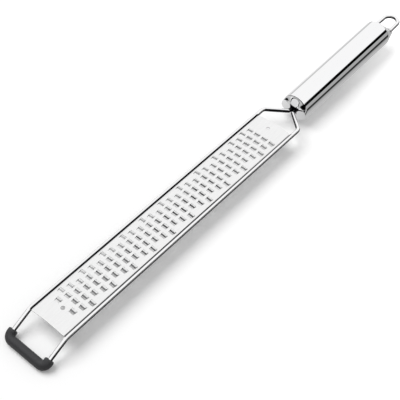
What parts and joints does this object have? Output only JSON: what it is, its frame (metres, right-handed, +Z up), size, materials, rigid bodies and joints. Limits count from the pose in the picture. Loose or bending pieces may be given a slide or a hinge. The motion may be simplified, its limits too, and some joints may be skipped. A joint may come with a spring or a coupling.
{
  "type": "rasp zester",
  "caption": "Long handheld rasp: a bowed strip of raised teeth between two wire rails, with a rubber foot at the tip, a pinched steel tube handle and a wire hang loop.",
  "frame": {"origin": "on the surface that the tool stands on, midway between the foot's outer side and the end of the hang loop", "axes": "+X along the tool from the foot to the hang loop, +Y to the left of that direction, +Z up, out of the toothed face"},
  "size_m": [0.3932, 0.038, 0.0252],
  "materials": {
    "blade_steel": "fine satin stainless strip, nearly white in soft light",
    "polished_wire": "mirror-polished stainless wire",
    "polished_tube": "mirror-polished stainless tube",
    "foot_rubber": "matt black moulded rubber"
  },
  "bodies": {
    "root": {"rasp_blade": "blade_steel", "frame_wire": "polished_wire", "handle_tube": "polished_tube", "hang_loop": "polished_wire", "foot_sleeve": "foot_rubber"}
  },
  "joints": []
}
